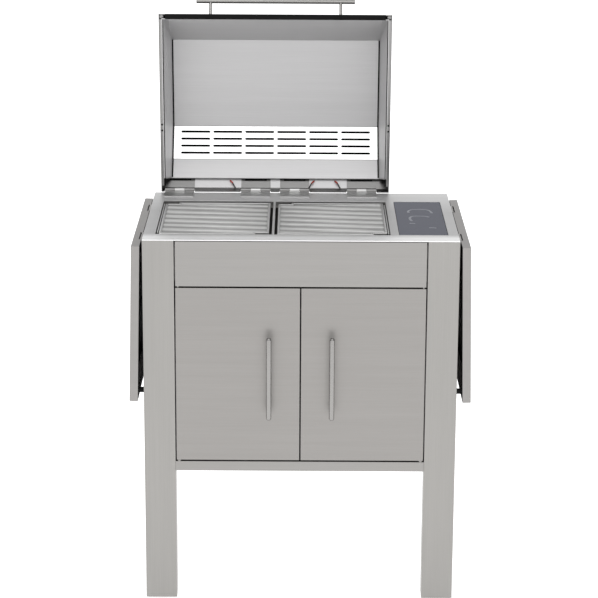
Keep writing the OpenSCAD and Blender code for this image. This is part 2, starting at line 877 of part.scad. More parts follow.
// Slotted vent sheet on the inside of the hood's back slope
module hood_vent_panel() {
    w = hood_w - 2 * hood_side;
    color(bright) hood_at_rest() vent_place() difference() {
        block([-w / 2 + 0.5, 0.5, -vent_t], [w / 2 - 0.5, band_len - 2, 0]);
        for (i = [-2.5:2.5], j = [-1.5:1.5])
            translate([i * slot_pitch_x, band_len / 2 + j * slot_pitch_v, -vent_t - 1])
                linear_extrude(vent_t + 2) slot_2d(slot_len, slot_w);
    }
}

// Flat rails between the outer and inner cheeks along the hood's rim, each with a stiffener
module hood_side_rails() {
    w = hood_side - 2 * sheet_t;
    z = hood_rim + 1;
    color(steel) hood_at_rest() for (s = [-1, 1]) translate([hood_x + s * (hood_w - hood_side) / 2, 0, 0]) {
        block([-w / 2, -hood_len + 20, z], [w / 2, -12, z + sheet_t]);
        block([-w / 4, -hood_len + 60, z + sheet_t], [w / 4, -70, z + 3 * sheet_t]);
    }
}

// Black seal along the front edge: a stem between the skins and a cap over their edges
module hood_front_seal() {
    skin = inset(hood_outline, sheet_t + 0.1)[5];
    inner = inset(hood_outline, hood_wall - 0.1)[5];
    back = inset(hood_outline, hood_wall + sheet_t)[5];
    lift = [-front_run, hood_top - hood_rim] * 0.08;
    low = [0, -seal_cap];
    color(dark) hood_at_rest() hood_slab([
        hood_outline[5] + low, hood_outline[5], skin, skin + lift, inner + lift, inner, back, back + low
    ], hood_w - 2 * seal_in);
}

// Middle of the handle: out from a point on the front slope
front_out = [sin(front_angle), cos(front_angle)];
handle_foot = [hood_len - (handle_up - hood_rim) / tan(front_angle), handle_up];
handle_at = handle_foot + front_out * handle_off;

module hood_handle() {
    color(bright) hood_at_rest()
        rod_x([hood_x - hood_handle_len / 2, -handle_at[0], handle_at[1]], hood_handle_len, hood_handle_d / 2);
}

module hood_handle_posts() {
    color(bright) hood_at_rest() for (s = [-1, 1]) difference() {
        translate([hood_x + s * hood_post_span / 2, -handle_foot[0], handle_foot[1]])
            rotate([front_angle, 0, 0]) cylinder(h = handle_off, r = hood_post_r);
        rod_x([hood_x - hood_handle_len, -handle_at[0], handle_at[1]], 2 * hood_handle_len, hood_handle_d / 2);
    }
}

lead_r = 1.6;
lead_bend = 9;
lead_in = [196, 202, 124];
lead_xs = [lead_in[0] - hood_w / 2, hood_w / 2 - lead_in[1], hood_w / 2 - lead_in[2]];

// Short looped leads along the inside of the hood's back wall
module hood_leads() {
    color(red) hood_at_rest() for (x = lead_xs)
        translate([hood_x + x, -hood_back - sheet_t, 20]) rotate([0, 0, 180])
            rotate_extrude(angle = 180) translate([lead_bend, 0]) circle(r = lead_r, $fn = 16);
}

// ---------- side shelves ----------

// Right-hand shelf hanging plumb: a folded tray, open towards the leg
module shelf_tray() {
    difference() {
        block([0, 0, shelf_over - shelf_w], [shelf_t, table_d, shelf_over]);
        block([shelf_skin, shelf_skin, shelf_over - shelf_w + shelf_skin],
              [shelf_t - shelf_skin, table_d - shelf_skin, shelf_over - shelf_skin]);
        block([-1, shelf_lip, shelf_over - shelf_w + shelf_lip],
              [shelf_skin + 1, table_d - shelf_lip, shelf_over - shelf_lip]);
        for (y = shelf_hinge_ys)
            block([-1, y - shelf_hinge_w / 2 - 1, -shelf_lip - 1],
                  [shelf_barrel + 1.5, y + shelf_hinge_w / 2 + 1, shelf_over + 1]);
    }
}

// Hinge leaves fixed inside a right-hand shelf, with their outer barrels
module shelf_leaves() {
    third = shelf_hinge_w / 3;
    for (y = shelf_hinge_ys) difference() {
        union() {
            for (s = [-1, 1]) {
                y0 = y + s * third - third / 2 + 0.2;
                rod_y([0, y0, 0], third - 0.4, shelf_barrel);
                block([0, y0, -shelf_barrel], [shelf_barrel + 1.5, y0 + third - 0.4, -1]);
            }
            block([shelf_barrel + 1.5, y - shelf_hinge_w / 2 + 0.2, -34],
                  [shelf_t - shelf_skin, y + shelf_hinge_w / 2 - 0.2, -1]);
        }
        rod_y([0, y - shelf_hinge_w, 0], 2 * shelf_hinge_w, shelf_pin_r + fit);
    }
}

module shelf_left() {
    color(steel) mirror([1, 0, 0]) shelf_at_rest() shelf_tray();
}

module shelf_left_leaves() {
    color(bright) mirror([1, 0, 0]) shelf_at_rest() shelf_leaves();
}

module shelf_right() {
    color(steel) shelf_at_rest() shelf_tray();
}

module shelf_right_leaves() {
    color(bright) shelf_at_rest() shelf_leaves();
}

// Fixed leaves of the shelf hinges on the side panels, with their middle barrels
module side_hinge_leaves() {
    third = shelf_hinge_w / 3;
    color(bright) at_table() both_sides() for (y = shelf_hinge_ys) difference() {
        union() {
            rod_y([shelf_axis_x, y - third / 2 + 0.2, shelf_axis_z], third - 0.4, shelf_barrel);
            block([half_w, y - third / 2 + 0.2, shelf_axis_z - shelf_barrel],
                  [shelf_axis_x, y + third / 2 - 0.2, shelf_axis_z]);
            block([half_w, y - shelf_hinge_w / 2, shelf_axis_z - side_leaf_len],
                  [half_w + side_leaf_t, y + shelf_hinge_w / 2, shelf_axis_z - shelf_barrel - 1]);
            block([half_w, y - third / 2 + 0.2, shelf_axis_z - shelf_barrel - 2],
                  [half_w + side_leaf_t, y + third / 2 - 0.2, shelf_axis_z - shelf_barrel]);
        }
        rod_y([shelf_axis_x, y - shelf_hinge_w, shelf_axis_z], 2 * shelf_hinge_w, shelf_pin_r + fit);
    }
}

module side_hinge_pins() {
    color(bright) at_table() both_sides() for (y = shelf_hinge_ys)
        rod_y([shelf_axis_x, y - shelf_hinge_w / 2 - 0.5, shelf_axis_z], shelf_hinge_w + 1, shelf_pin_r);
}

// Rubber bumpers on the legs that keep the hanging shelves leaning out
module shelf_bumpers() {
    reach = shelf_gap + bumper_drop * sin(shelf_lean) - bumper_r * sin(shelf_lean) - bumper_clear;
    color(dark) at_table() both_sides() for (y = [shelf_lip / 2 + 1, table_d - shelf_lip / 2 - 1])
        rod_x([half_w, y, shelf_axis_z - bumper_drop], reach, bumper_r);
}

worktop();
fascia();
front_leg_left();
front_leg_right();
rear_legs();
leg_plugs();
feet();
side_panel_left();
side_panel_right();
back_panel();
cabinet_floor();
cabinet_walls();
cabinet_divider();
firebox();
grate_rails();
centre_bar();
grate_left();
grate_right();
flame_tamers();
burner_left();
burner_right();
manifold();
valve_block();
supply_pipe();
gas_inlet();
igniter_electrodes();
control_glass();
control_housing();
control_board();
tray_rails();
drip_tray();
door_pins();
door_catches();
table_hinge_leaves();
hood_hinge_pins();
side_hinge_leaves();
side_hinge_pins();
shelf_bumpers();
hood_shell();
hood_liner();
hood_vent_panel();
hood_side_rails();
hood_front_seal();
hood_handle();
hood_handle_posts();
hood_hinge_leaves();
hood_leads();
door_left();
door_left_back();
door_left_handle();
door_right();
door_right_back();
door_right_handle();
shelf_left();
shelf_left_leaves();
shelf_right();
shelf_right_leaves();
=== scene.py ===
import bpy
import bmesh
import json
import math
from mathutils import Matrix, Vector


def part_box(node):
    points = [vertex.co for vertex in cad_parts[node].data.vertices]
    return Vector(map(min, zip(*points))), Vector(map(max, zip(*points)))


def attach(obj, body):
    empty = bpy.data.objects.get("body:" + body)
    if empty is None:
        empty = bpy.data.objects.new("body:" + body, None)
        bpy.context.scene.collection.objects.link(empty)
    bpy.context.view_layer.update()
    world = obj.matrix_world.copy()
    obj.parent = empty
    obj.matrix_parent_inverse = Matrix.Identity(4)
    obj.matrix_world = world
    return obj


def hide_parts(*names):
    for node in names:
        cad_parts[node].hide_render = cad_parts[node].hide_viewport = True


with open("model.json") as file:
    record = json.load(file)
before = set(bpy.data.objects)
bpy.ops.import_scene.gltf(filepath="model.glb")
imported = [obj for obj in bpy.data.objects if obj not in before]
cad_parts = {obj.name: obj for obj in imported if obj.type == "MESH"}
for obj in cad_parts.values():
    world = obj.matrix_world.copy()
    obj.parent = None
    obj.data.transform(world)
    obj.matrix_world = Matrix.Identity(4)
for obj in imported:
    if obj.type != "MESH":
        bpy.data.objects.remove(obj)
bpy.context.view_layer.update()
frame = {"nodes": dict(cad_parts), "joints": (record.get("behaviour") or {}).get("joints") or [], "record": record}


# ---------- Camera ----------
# A long lens on a tall tripod in front of the grill, tipped down by about fifteen degrees and
# turned by a third of a degree about its own line of sight.
front_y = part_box("front_leg_right")[0].y
bpy.context.scene.view_settings.view_transform = "Standard"
camera_data = bpy.data.cameras.new("camera")
camera_data.lens = 134.5
camera_data.sensor_width = 36
camera_data.clip_end = 60
camera = bpy.data.objects.new("camera", camera_data)
tilt, roll = 0.27054, 0.00528
camera.matrix_world = (
    Matrix.Translation((-0.0042, front_y - 5.3032, 2.2672))
    @ Matrix.Rotation(math.pi / 2 - tilt, 4, "X")
    @ Matrix.Rotation(roll, 4, "Z")
)
bpy.context.collection.objects.link(camera)
bpy.context.scene.camera = camera


# ---------- Floor ----------
# A plain white studio floor, wide enough to fill the view from every side. It glows a little, so
# that it stays white under the grill.
class Wire:
    """A shader socket. Python's operators on it add the Math nodes that they stand for."""

    tree = None

    def __init__(self, socket):
        self.socket = socket

    @classmethod
    def node(cls, kind, settings=None, **sockets):
        made = cls.tree.nodes.new(kind)
        for name, value in (settings or {}).items():
            if name == "stops":
                ramp = made.color_ramp
                while len(ramp.elements) < len(value):
                    ramp.elements.new(0.5)
                for element, (place, colour) in zip(ramp.elements, value):
                    element.position, element.color = place, colour
            else:
                setattr(made, name, value)
        for name, value in sockets.items():
            key = int(name[1:]) if name[0] == "i" and name[1:].isdigit() else name.replace("_", " ")
            if isinstance(value, Wire):
                cls.tree.links.new(value.socket, made.inputs[key])
            else:
                made.inputs[key].default_value = value
        return made

    def maths(self, operation, a, b=0.0):
        made = Wire.node("ShaderNodeMath", {"operation": operation}, i0=a, i1=b)
        return Wire(made.outputs[0])

    def __add__(self, other):
        return self.maths("ADD", self, other)

    __radd__ = __add__

    def __sub__(self, other):
        return self.maths("SUBTRACT", self, other)

    def __rsub__(self, other):
        return self.maths("SUBTRACT", other, self)

    def __mul__(self, other):
        return self.maths("MULTIPLY", self, other)

    __rmul__ = __mul__


def new_finish(name):
    """An empty material with its shader, and the tree that Wire works in."""
    made = bpy.data.materials.new(name)
    made.use_nodes = True
    Wire.tree = made.node_tree
    return made, made.node_tree.nodes["Principled BSDF"]


def plug(wire, shader, socket):
    Wire.tree.links.new(wire.socket, shader.inputs[socket])


def object_place():
    return Wire(Wire.node("ShaderNodeTexCoord").outputs["Object"])


def stretched(place, scale):
    """The object's coordinates scaled along each axis."""
    return Wire(Wire.node("ShaderNodeMapping", Vector=place, Scale=scale).outputs[0])


def noise(place, scale, detail=3.0):
    made = Wire.node("ShaderNodeTexNoise", Vector=place, Scale=scale, Detail=detail)
    return Wire(made.outputs["Fac"])


def two_tones(factor, dark, light):
    """A colour between two tones."""
    made = Wire.node("ShaderNodeMix", {"data_type": "RGBA"}, Factor=factor, i6=(*dark, 1), i7=(*light, 1))
    return Wire(made.outputs[2])


def bumped(height, strength, distance):
    made = Wire.node("ShaderNodeBump", None, Height=height, Strength=strength, Distance=distance)
    return Wire(made.outputs["Normal"])


floor_paint, shader = new_finish("floor_paint")
shader.inputs["Base Color"].default_value = (0.9, 0.9, 0.9, 1)
shader.inputs["Emission Color"].default_value = (1, 1, 1, 1)
shader.inputs["Emission Strength"].default_value = 0.74
shader.inputs["Roughness"].default_value = 0.9
shader.inputs["Specular IOR Level"].default_value = 0.0
floor_mesh = bpy.data.meshes.new("studio_floor")
reach = 14.0
floor_mesh.from_pydata(
    [(-reach, -reach, -0.001), (reach, -reach, -0.001), (reach, reach, -0.001), (-reach, reach, -0.001)],
    [], [(0, 1, 2, 3)],
)
floor_mesh.materials.append(floor_paint)
studio_floor = bpy.data.objects.new("studio_floor", floor_mesh)
bpy.context.collection.objects.link(studio_floor)


# ---------- Studio light ----------
# An even white room with a grey flag low at each side, which draws the dark lines along round
# bars. A broad softbox stands in front and above, a weaker one lower at the right, and a third
# high up, aimed at the vent sheet of the open hood.
world = bpy.data.worlds.new("studio")
bpy.context.scene.world = world
world.use_nodes = True
Wire.tree = world.node_tree
room = world.node_tree.nodes["Background"]
facing = Wire.node("ShaderNodeSeparateXYZ", Vector=Wire(Wire.node("ShaderNodeTexCoord").outputs["Generated"]))
across, height = Wire(facing.outputs[0]), Wire(facing.outputs[2])
sideways = across.maths("ABSOLUTE", across)
flag = Wire(Wire.node("ShaderNodeMapRange", {"interpolation_type": "SMOOTHSTEP"}, Value=sideways,
                      From_Min=0.78, From_Max=0.93).outputs[0])
flag_low = Wire(Wire.node("ShaderNodeMapRange", {"interpolation_type": "SMOOTHSTEP"}, Value=height,
                          From_Min=0.5, From_Max=0.2).outputs[0])
room_light = 1.0 - flag * flag_low * 0.85
Wire.tree.links.new(two_tones(room_light, (0, 0, 0), (1, 1, 1)).socket, room.inputs["Color"])
room.inputs["Strength"].default_value = 0.95


def softbox(name, place, aim, width, height, power):
    data = bpy.data.lights.new(name, "AREA")
    data.shape, data.size, data.size_y, data.energy = "RECTANGLE", width, height, power
    lamp = bpy.data.objects.new(name, data)
    lamp.location = place
    lamp.rotation_euler = (Vector(aim) - Vector(place)).to_track_quat("-Z", "Y").to_euler()
    bpy.context.collection.objects.link(lamp)
    return lamp


softbox("key_softbox", (0.2, -3.6, 3.4), (0, 0, 0.8), 2.6, 2.0, 9)
softbox("low_softbox", (0.2, -3.0, 1.0), (-0.07, 0.3, 1.25), 1.8, 0.8, 3)
softbox("top_softbox", (-0.07, -2.0, 4.2), (-0.07, 0.42, 1.05), 2.2, 1.4, 18)


# ---------- Legs ----------
# Stainless tubes with slightly rounded edges, brushed along their length: two wide ones in front
# and two narrow ones behind. They carry the worktop.
def brushed_steel(name, tone, along, roughness, metal=1.0, streaks=0.05, clouds=0.035,
                  painted_shading=None):
    """Brushed stainless sheet. along is the axis of the brushing: 0, 1 or 2.

    The last argument is an axis, two places along it, and the share of the tone at stops between them: light and
    shade painted into the colour along that axis."""
    made, shader = new_finish(name)
    place = object_place()
    fine = [900.0, 900.0, 900.0]
    fine[along] = 9.0
    broad = [60.0, 60.0, 60.0]
    broad[along] = 2.0
    hair = noise(stretched(place, fine), 1.0, 2.0)
    band = noise(stretched(place, broad), 1.0, 2.0)
    cloud = noise(place, 2.4, 2.0)
    mix = 0.5 + (hair - 0.5) * streaks * 14 + (band - 0.5) * streaks * 8 + (cloud - 0.5) * clouds * 16
    dark = [c * 0.9 for c in tone]
    light = [min(1.0, c * 1.1) for c in tone]
    colour = two_tones(mix, dark, light)
    # Painted light and shade: the colour is scaled by a share that changes along one axis.
    if painted_shading:
        axis, start, end, stops = painted_shading
        spot = Wire(Wire.node("ShaderNodeSeparateXYZ", Vector=place).outputs[axis])
        share = Wire.node("ShaderNodeMapRange", None, Value=spot, From_Min=start, From_Max=end)
        share = Wire(share.outputs[0])
        painted_shading_stops = [(at, (part, part, part, 1)) for at, part in stops]
        painted_shading_level = Wire.node("ShaderNodeValToRGB", {"stops": painted_shading_stops}, Fac=share)
        product = Wire.node("ShaderNodeVectorMath", {"operation": "MULTIPLY"},
                            i0=colour, i1=Wire(painted_shading_level.outputs[0]))
        colour = Wire(product.outputs[0])
    plug(colour, shader, "Base Color")
    plug(roughness + (hair - 0.5) * 0.12 + (cloud - 0.5) * 0.08, shader, "Roughness")
    plug(bumped(hair, 0.12, 0.0004), shader, "Normal")
    shader.inputs["Metallic"].default_value = metal
    return made


def plain_copy(node):
    """A clean copy of a CAD node's mesh, with its triangles joined into flat faces."""
    source = frame["nodes"][node].data
    work = bmesh.new()
    work.from_mesh(source)
    bmesh.ops.remove_doubles(work, verts=work.verts, dist=1e-5)
    bmesh.ops.dissolve_limit(work, angle_limit=math.radians(0.6), verts=work.verts, edges=work.edges)
    mesh = bpy.data.meshes.new(node)
    work.to_mesh(mesh)
    work.free()
    mesh.materials.clear()
    return mesh


def baked(obj):
    """obj with its modifiers applied, as a plain mesh at the origin."""
    bpy.context.view_layer.update()
    graph = bpy.context.evaluated_depsgraph_get()
    mesh = bpy.data.meshes.new_from_object(obj.evaluated_get(graph), depsgraph=graph)
    obj.modifiers.clear()
    obj.data = mesh
    return obj


def edge_rounded(mesh, name, material, edge, segments=2):
    """The mesh with rounded edges and even shading."""
    mesh.materials.append(material)
    for face in mesh.polygons:
        face.use_smooth = True
    obj = bpy.data.objects.new(name, mesh)
    bpy.context.collection.objects.link(obj)
    bevel = obj.modifiers.new("edges", "BEVEL")
    bevel.width, bevel.segments = edge, segments
    bevel.limit_method, bevel.angle_limit = "ANGLE", math.radians(25)
    bevel.use_clamp_overlap = True
    weigh = obj.modifiers.new("shading", "WEIGHTED_NORMAL")
    weigh.keep_sharp = True
    return baked(obj)


node_body = {n: body for body, nodes in frame["record"]["behaviour"]["bodies"].items() for n in nodes}


def finished(node, material, edge=0.0007):
    """A CAD node with its edges rounded, which replaces it."""
    made = edge_rounded(plain_copy(node), node + "_finish", material, edge)
    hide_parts(node)
    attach(made, node_body[node])
    return made


def painted(node, material):
    """A CAD node kept as it is, with its own finish."""
    mesh = frame["nodes"][node].data
    mesh.materials.clear()
    mesh.materials.append(material)


leg_steel = brushed_steel("leg_steel", (0.290, 0.283, 0.272), 2, 0.36)
for node in ("front_leg_left", "front_leg_right", "rear_legs"):
    finished(node, leg_steel, 0.0012)


# ---------- Fascia, doors and cabinet ----------
# Folded stainless panels, all brushed from side to side. The fascia and the floor's front rail
# close the frame between the legs, and the doors hang between them.
fascia_steel = brushed_steel("fascia_steel", (0.280, 0.2725, 0.264), 0, 0.36)
door_steel = brushed_steel("door_steel", (0.276, 0.2665, 0.257), 0, 0.40)
for node in ("fascia", "cabinet_floor", "back_panel", "cabinet_walls", "cabinet_divider"):
    finished(node, fascia_steel, 0.0006)
for node in ("door_left", "door_right"):
    finished(node, door_steel, 0.0008)
for node in ("side_panel_left", "side_panel_right", "door_left_back", "door_right_back"):
    finished(node, fascia_steel, 0.0005)


# ---------- Door handles ----------
# Solid satin bars with domed ends, on two turned posts each. A small collar finishes each post
# where it meets the door.
bar_steel = brushed_steel("bar_steel", (0.28, 0.273, 0.266), 2, 0.22)
bar_radius, post_radius, post_in = 0.0065, 0.004, 0.025


def solid_of(points, faces, name, material):
    """A plain mesh object from points and faces, with its normals set outwards."""
    mesh = bpy.data.meshes.new(name)
    mesh.from_pydata([tuple(p) for p in points], [], faces)
    work = bmesh.new()
    work.from_mesh(mesh)
    bmesh.ops.remove_doubles(work, verts=work.verts, dist=1e-6)
    bmesh.ops.recalc_face_normals(work, faces=work.faces)
    work.to_mesh(mesh)
    work.free()
    mesh.materials.append(material)
    obj = bpy.data.objects.new(name, mesh)
    bpy.context.collection.objects.link(obj)
    return obj


def rounded_solid(points, faces, name, material, edge):
    """A plain mesh object from points and faces, with its edges rounded."""
    made = solid_of(points, faces, name, material)
    mesh = made.data
    mesh.materials.clear()
    bpy.data.objects.remove(made)
    return edge_rounded(mesh, name, material, edge)


def turned(profile, sides, name, material):
    """A solid turned about Z from (radius, height) pairs, closed at both ends."""
    points, faces = [], []
    for radius, height in profile:
        for k in range(sides):
            turn = 2 * math.pi * k / sides
            points.append((radius * math.cos(turn), radius * math.sin(turn), height))
    rings = len(profile)
    for r in range(rings - 1):
        for k in range(sides):
            n = (k + 1) % sides
            faces.append((r * sides + k, r * sides + n, (r + 1) * sides + n, (r + 1) * sides + k))
    faces.append(tuple(reversed(range(sides))))
    faces.append(tuple((rings - 1) * sides + k for k in range(sides)))
    return solid_of(points, faces, name, material)


def joined(objects, name):
    """Several plain mesh objects as one."""
    work, materials = bmesh.new(), []
    for obj in objects:
        mesh = obj.data
        for face in mesh.polygons:
            material = mesh.materials[face.material_index]
            if material not in materials:
                materials.append(material)
        shift = [materials.index(m) if m in materials else 0 for m in mesh.materials]
        before = len(work.faces)
        work.from_mesh(mesh)
        work.faces.ensure_lookup_table()
        for face in work.faces[before:]:
            face.material_index = shift[face.material_index]
    made = bpy.data.meshes.new(name)
    work.to_mesh(made)
    work.free()
    for material in materials:
        made.materials.append(material)
    for obj in objects:
        bpy.data.objects.remove(obj)
    result = bpy.data.objects.new(name, made)
    bpy.context.collection.objects.link(result)
    return result


def dome_ended(radius, length, sides=32):
    """The outline of a bar with a domed end at each end, along Z from 0."""
    steps = [math.pi / 2 * k / 6 for k in range(7)]
    foot = [(max(radius * math.sin(t), 0.0002), radius * (1 - math.cos(t))) for t in steps]
    return foot + [(r, length - h) for r, h in reversed(foot)]


def round_solid(outline, matrix, name, material, sides=32):
    obj = turned(outline, sides, name, material)
    obj.data.transform(matrix)
    for face in obj.data.polygons:
        face.use_smooth = True
    obj.data.set_sharp_from_angle(angle=math.radians(40))
    return obj


for node in ("door_left_handle", "door_right_handle"):
    low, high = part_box(node)
    x, y = (low.x + high.x) / 2, low.y + bar_radius
    profile = dome_ended(bar_radius, high.z - low.z)
    parts = [round_solid(profile, Matrix.Translation((x, y, low.z)), "bar", bar_steel)]
    for z in (low.z + post_in, high.z - post_in):
        reach = high.y - y
        stem = [(post_radius, 0.0), (post_radius, reach - 0.0015), (post_radius + 0.0012, reach - 0.0008),
                (post_radius + 0.0012, reach)]
        turn = Matrix.Translation((x, y, z)) @ Matrix.Rotation(-math.pi / 2, 4, "X")
        parts.append(round_solid(stem, turn, "post", bar_steel, 20))
    handle = joined(parts, node + "_bar")
    handle.data.set_sharp_from_angle(angle=math.radians(40))
    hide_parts(node)
    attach(handle, node_body[node])


# ---------- Worktop ----------
# One stainless sheet with openings for the grates and the control glass. Its tone changes from
# the front edge to the rear as a painted reflection: bright along the front edge, darker behind and
# a little lighter at the rear, in place of the reflections of a larger room.
top_steel = brushed_steel("top_steel", (0.86, 0.86, 0.86), 0, 0.42, 0.7,
                          painted_shading=(1, -0.31, 0.20, ((0.05, 0.95), (0.12, 0.52), (0.6, 0.52), (1.0, 0.74))))
finished("worktop", top_steel, 0.0006)


# ---------- Firebox and grates ----------
# The firebox and its ledges are plain sheet, dulled by heat. The grates are round rods in a
# flat-bar frame, each with a finger notch at two corners.
box_steel = brushed_steel("box_steel", (0.26, 0.255, 0.25), 0, 0.42)
grate_steel = brushed_steel("grate_steel", (0.59, 0.59, 0.585), 0, 0.34)
for node in ("firebox", "flame_tamers", "grate_rails"):
    finished(node, box_steel, 0.0004)
finished("centre_bar", grate_steel, 0.0005)


def socket_in(tree, name, kind, value=None):
    made = tree.interface.new_socket(name=name, in_out="INPUT", socket_type=kind)
    if value is not None:
        made.default_value = value
    return made.identifier


def placing_tree(name):
    """A tree that puts one piece on each point of a mesh, turned one way."""
    tree = bpy.data.node_groups.new(name, "GeometryNodeTree")
    keys = {
        "Points": socket_in(tree, "Points", "NodeSocketGeometry"),
        "Piece": socket_in(tree, "Piece", "NodeSocketObject"),
        "Turn": socket_in(tree, "Turn", "NodeSocketVector"),
        "Finish": socket_in(tree, "Finish", "NodeSocketMaterial"),
    }
    tree.interface.new_socket(name="Result", in_out="OUTPUT", socket_type="NodeSocketGeometry")
    start, end = tree.nodes.new("NodeGroupInput"), tree.nodes.new("NodeGroupOutput")
    piece = tree.nodes.new("GeometryNodeObjectInfo")
    turn = tree.nodes.new("FunctionNodeEulerToRotation")
    place = tree.nodes.new("GeometryNodeInstanceOnPoints")
    real = tree.nodes.new("GeometryNodeRealizeInstances")
    paint = tree.nodes.new("GeometryNodeSetMaterial")
    link = tree.links.new
    link(start.outputs["Piece"], piece.inputs["Object"])
    link(start.outputs["Turn"], turn.inputs[0])
    link(start.outputs["Points"], place.inputs["Points"])
    link(piece.outputs["Geometry"], place.inputs["Instance"])
    link(turn.outputs[0], place.inputs["Rotation"])
    link(place.outputs[0], real.inputs[0])
    link(real.outputs[0], paint.inputs["Geometry"])
    link(start.outputs["Finish"], paint.inputs["Material"])
    link(paint.outputs[0], end.inputs[0])
    return tree, keys


place_pieces, place_keys = placing_tree("place_pieces")


def placed(name, piece, points, turn, material, smooth=35):
    """Copies of a piece at the points, as one plain mesh."""
    mesh = bpy.data.meshes.new(name)
    mesh.from_pydata([tuple(p) for p in points], [], [])
    obj = bpy.data.objects.new(name, mesh)
    bpy.context.collection.objects.link(obj)
    nodes = obj.modifiers.new("pieces", "NODES")
    nodes.node_group = place_pieces
    nodes[place_keys["Piece"]] = piece
    nodes[place_keys["Turn"]] = turn
    nodes[place_keys["Finish"]] = material
    baked(obj)
    for face in obj.data.polygons:
        face.use_smooth = True
    obj.data.set_sharp_from_angle(angle=math.radians(smooth))
    return obj


box_faces = [(0, 1, 3, 2), (4, 6, 7, 5), (0, 4, 5, 1), (2, 3, 7, 6), (0, 2, 6, 4), (1, 5, 7, 3)]


# The rods are welded into a frame of flat bar. Their tone goes light and dark in soft bands across the grate.
rod_steel, shader = new_finish("rod_steel")
place = object_place()
split = Wire.node("ShaderNodeSeparateXYZ", Vector=place)
along_x, along_y = Wire(split.outputs[0]), Wire(split.outputs[1])
wander = noise(stretched(place, (3.0, 14.0, 1.0)), 1.0, 2.0)
wave = (along_y * 2 + along_x * 0.22 + (wander - 0.5) * 0.035) * (math.pi / 0.0475)
band = wave.maths("SINE", wave) * 0.5 + 0.5
grain = noise(stretched(place, (30.0, 500.0, 500.0)), 1.0, 2.0)
tint = two_tones(band * 0.8 + (grain - 0.5) * 0.8, (0.33, 0.33, 0.325), (0.70, 0.70, 0.695))
plug(tint, shader, "Base Color")
plug(0.52 + grain * 0.12, shader, "Roughness")
plug(bumped(grain, 0.15, 0.0004), shader, "Normal")
shader.inputs["Metallic"].default_value = 1.0

rod_width, rod_pitch, bar_width = 0.008, 0.0141, 0.006
notch_long, notch_wide = 0.034, 0.014
rod_sides, rod_sharp = 16, 50


def rod_blank(half):
    """A rod along Z, this far each way, with its ends eased."""
    radius, soft = rod_width / 2, rod_width * 0.12
    profile = [(radius - soft, -half), (radius, -half + soft), (radius, half - soft), (radius - soft, half)]
    return turned(profile, rod_sides, "rod", rod_steel)


for node in ("grate_left", "grate_right"):
    low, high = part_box(node)
    middle = (low.z + high.z) / 2
    count = int((high.y - low.y - 2 * bar_width) / rod_pitch)
    first = (low.y + high.y) / 2 - (count - 1) * rod_pitch / 2
    length = high.x - low.x - 2 * bar_width
    half = length / 2 + 0.001
    rod = rod_blank(half)
    points = [((low.x + high.x) / 2, first + k * rod_pitch, middle) for k in range(count)]
    rods = [placed("rods", rod, points[1:-1], (0, math.pi / 2, 0), rod_steel, rod_sharp)]
    bpy.data.objects.remove(rod)
    for point, side in ((points[0], -1), (points[-1], 1)):
        end_rod = rod_blank(half - notch_long / 2)
        spot = (point[0] + side * notch_long / 2, point[1], point[2])
        rods.append(placed("end_rod", end_rod, [spot], (0, math.pi / 2, 0), rod_steel, rod_sharp))
        bpy.data.objects.remove(end_rod)
    outline = [(low.x, low.y), (high.x - notch_long, low.y), (high.x - notch_long, low.y + notch_wide),
               (high.x, low.y + notch_wide), (high.x, high.y), (low.x + notch_long, high.y),
               (low.x + notch_long, high.y - notch_wide), (low.x, high.y - notch_wide)]
    inner = [(low.x + bar_width, low.y + bar_width),
             (high.x - notch_long - bar_width, low.y + bar_width),
             (high.x - notch_long - bar_width, low.y + notch_wide + bar_width),
             (high.x - bar_width, low.y + notch_wide + bar_width),
             (high.x - bar_width, high.y - bar_width),
             (low.x + notch_long + bar_width, high.y - bar_width),
             (low.x + notch_long + bar_width, high.y - notch_wide - bar_width),
             (low.x + bar_width, high.y - notch_wide - bar_width)]
    corners = [(x, y, z) for z in (low.z, high.z) for x, y in outline + inner]
    faces = []
    for k in range(8):
        n = (k + 1) % 8
        faces += [(k, n, n + 8, k + 8), (k + 16, k + 24, n + 24, n + 16),
                  (k, k + 16, n + 16, n), (k + 8, n + 8, n + 24, k + 24)]
    rim = rounded_solid(corners, faces, node + "_rim", grate_steel, 0.0012)
    grate = joined([rim] + rods, node + "_rods")
    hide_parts(node)
    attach(grate, "stand")
for node in ("burner_left", "burner_right"):
    painted(node, box_steel)


# A narrow folded ledge stands up beside each outer edge of the grates.
recess_low, recess_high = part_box("grate_rails")
grate_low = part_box("grate_left")[0]
grate_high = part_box("grate_right")[1]
ledge_half, ledge_clear = 0.0015, 0.026
ledges = []
for x in ((recess_low.x + grate_low.x) / 2, (recess_high.x + grate_high.x) / 2):
    ends_x = (x - ledge_half, x + ledge_half)
    ends_y = (recess_low.y + ledge_clear, recess_high.y - ledge_clear)
    corners = [(a, b, c) for a in ends_x for b in ends_y for c in (grate_low.z, grate_high.z - 0.001)]
    ledges.append(rounded_solid(corners, box_faces, "side_ledge", grate_steel, 0.0006))
side_ledges = joined(ledges, "side_ledges")
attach(side_ledges, "stand")


# ---------- Control glass ----------
# A dark toughened glass plate over a touch panel, laid flush in the worktop. It is smooth, with
# a slightly blue body colour and little gloss.
glass_finish, shader = new_finish("control_glass_finish")
cloud = noise(object_place(), 14.0, 2.0)
plug(two_tones(cloud, (0.055, 0.060, 0.085), (0.065, 0.070, 0.096)), shader, "Base Color")
plug(0.16 + cloud * 0.08, shader, "Roughness")
shader.inputs["IOR"].default_value = 1.1
finished("control_glass", glass_finish, 0.0006)


# Printed touch marks in pale ink: two arcs and two short dashes.
mark_ink, shader = new_finish("mark_ink")
speckle = noise(object_place(), 900.0, 1.0)
plug(two_tones(speckle, (0.15, 0.16, 0.19), (0.21, 0.22, 0.25)), shader, "Base Color")
plug(0.4 + speckle * 0.1, shader, "Roughness")
ink_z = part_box("control_glass")[1].z + 0.0001


